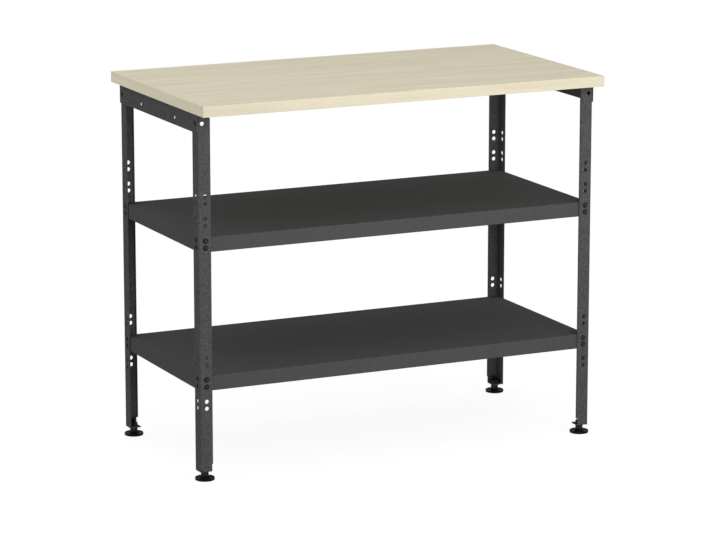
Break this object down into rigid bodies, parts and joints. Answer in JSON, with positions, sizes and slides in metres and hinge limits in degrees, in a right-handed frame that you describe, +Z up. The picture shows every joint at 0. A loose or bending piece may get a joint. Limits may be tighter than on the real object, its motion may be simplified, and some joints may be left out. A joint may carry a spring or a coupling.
{
  "type": "workbench",
  "caption": "Bolted steel workbench with a pale laminated top, tray shelves, perforated angle legs and screw levelling feet.",
  "frame": {"origin": "on the floor under the middle of the bench, feet fully screwed in", "axes": "+Z up, the front faces -Y, +X to the right along the length of the top"},
  "size_m": [1.0026, 0.55, 0.858],
  "materials": {
    "laminate": "pale melamine with fine straight grain",
    "edging": "matt edging in the board's pale wood pattern",
    "frame_paint": "dark grey textured powder coat",
    "shelf_paint": "dark grey fine powder coat",
    "black_fastener": "black oxide, semi-gloss",
    "zinc_fastener": "bright zinc plate",
    "foot_plastic": "black moulded nylon",
    "stud_steel": "black zinc plate"
  },
  "bodies": {
    "frame": {"worktop_board": "laminate", "edge_band_front": "edging", "edge_band_rear": "edging", "edge_band_left": "edging", "edge_band_right": "edging", "rail_left": "frame_paint", "rail_right": "frame_paint", "leg_front_left": "frame_paint", "leg_front_right": "frame_paint", "leg_rear_left": "frame_paint", "leg_rear_right": "frame_paint", "shelf_upper": "shelf_paint", "shelf_lower": "shelf_paint", "shelf_bolts_upper": "black_fastener", "shelf_nuts_upper": "black_fastener", "shelf_bolts_lower": "black_fastener", "shelf_nuts_lower": "black_fastener", "rail_bolts": "black_fastener", "rail_nuts": "black_fastener", "worktop_screws": "zinc_fastener", "foot_weld_nuts": "frame_paint"},
    "pad_front_left": {"foot_pad_front_left": "foot_plastic"},
    "stud_front_left": {"foot_stud_front_left": "stud_steel"},
    "pad_front_right": {"foot_pad_front_right": "foot_plastic"},
    "stud_front_right": {"foot_stud_front_right": "stud_steel"},
    "pad_rear_left": {"foot_pad_rear_left": "foot_plastic"},
    "stud_rear_left": {"foot_stud_rear_left": "stud_steel"},
    "pad_rear_right": {"foot_pad_rear_right": "foot_plastic"},
    "stud_rear_right": {"foot_stud_rear_right": "stud_steel"}
  },
  "joints": [
    {"name": "foot_lift_front_left", "type": "slide", "parent": "frame", "child": "pad_front_left", "axis": [0, 0, -1], "range_m": [0, 0.01]},
    {"name": "foot_turn_front_left", "type": "hinge", "parent": "pad_front_left", "child": "stud_front_left", "pos_m": [-0.479, -0.215, 0.02], "axis": [0, 0, -1], "range_deg": [0, 2400]},
    {"name": "foot_lift_front_right", "type": "slide", "parent": "frame", "child": "pad_front_right", "axis": [0, 0, -1], "range_m": [0, 0.01]},
    {"name": "foot_turn_front_right", "type": "hinge", "parent": "pad_front_right", "child": "stud_front_right", "pos_m": [0.479, -0.215, 0.02], "axis": [0, 0, -1], "range_deg": [0, 2400]},
    {"name": "foot_lift_rear_left", "type": "slide", "parent": "frame", "child": "pad_rear_left", "axis": [0, 0, -1], "range_m": [0, 0.01]},
    {"name": "foot_turn_rear_left", "type": "hinge", "parent": "pad_rear_left", "child": "stud_rear_left", "pos_m": [-0.479, 0.215, 0.02], "axis": [0, 0, -1], "range_deg": [0, 2400]},
    {"name": "foot_lift_rear_right", "type": "slide", "parent": "frame", "child": "pad_rear_right", "axis": [0, 0, -1], "range_m": [0, 0.01]},
    {"name": "foot_turn_rear_right", "type": "hinge", "parent": "pad_rear_right", "child": "stud_rear_right", "pos_m": [0.479, 0.215, 0.02], "axis": [0, 0, -1], "range_deg": [0, 2400]}
  ],
  "couplings": [
    {"joint": "foot_turn_front_left", "follows": "foot_lift_front_left", "rad_per_m": 4188.8},
    {"joint": "foot_turn_front_right", "follows": "foot_lift_front_right", "rad_per_m": 4188.8},
    {"joint": "foot_turn_rear_left", "follows": "foot_lift_rear_left", "rad_per_m": 4188.8},
    {"joint": "foot_turn_rear_right", "follows": "foot_lift_rear_right", "rad_per_m": 4188.8}
  ]
}
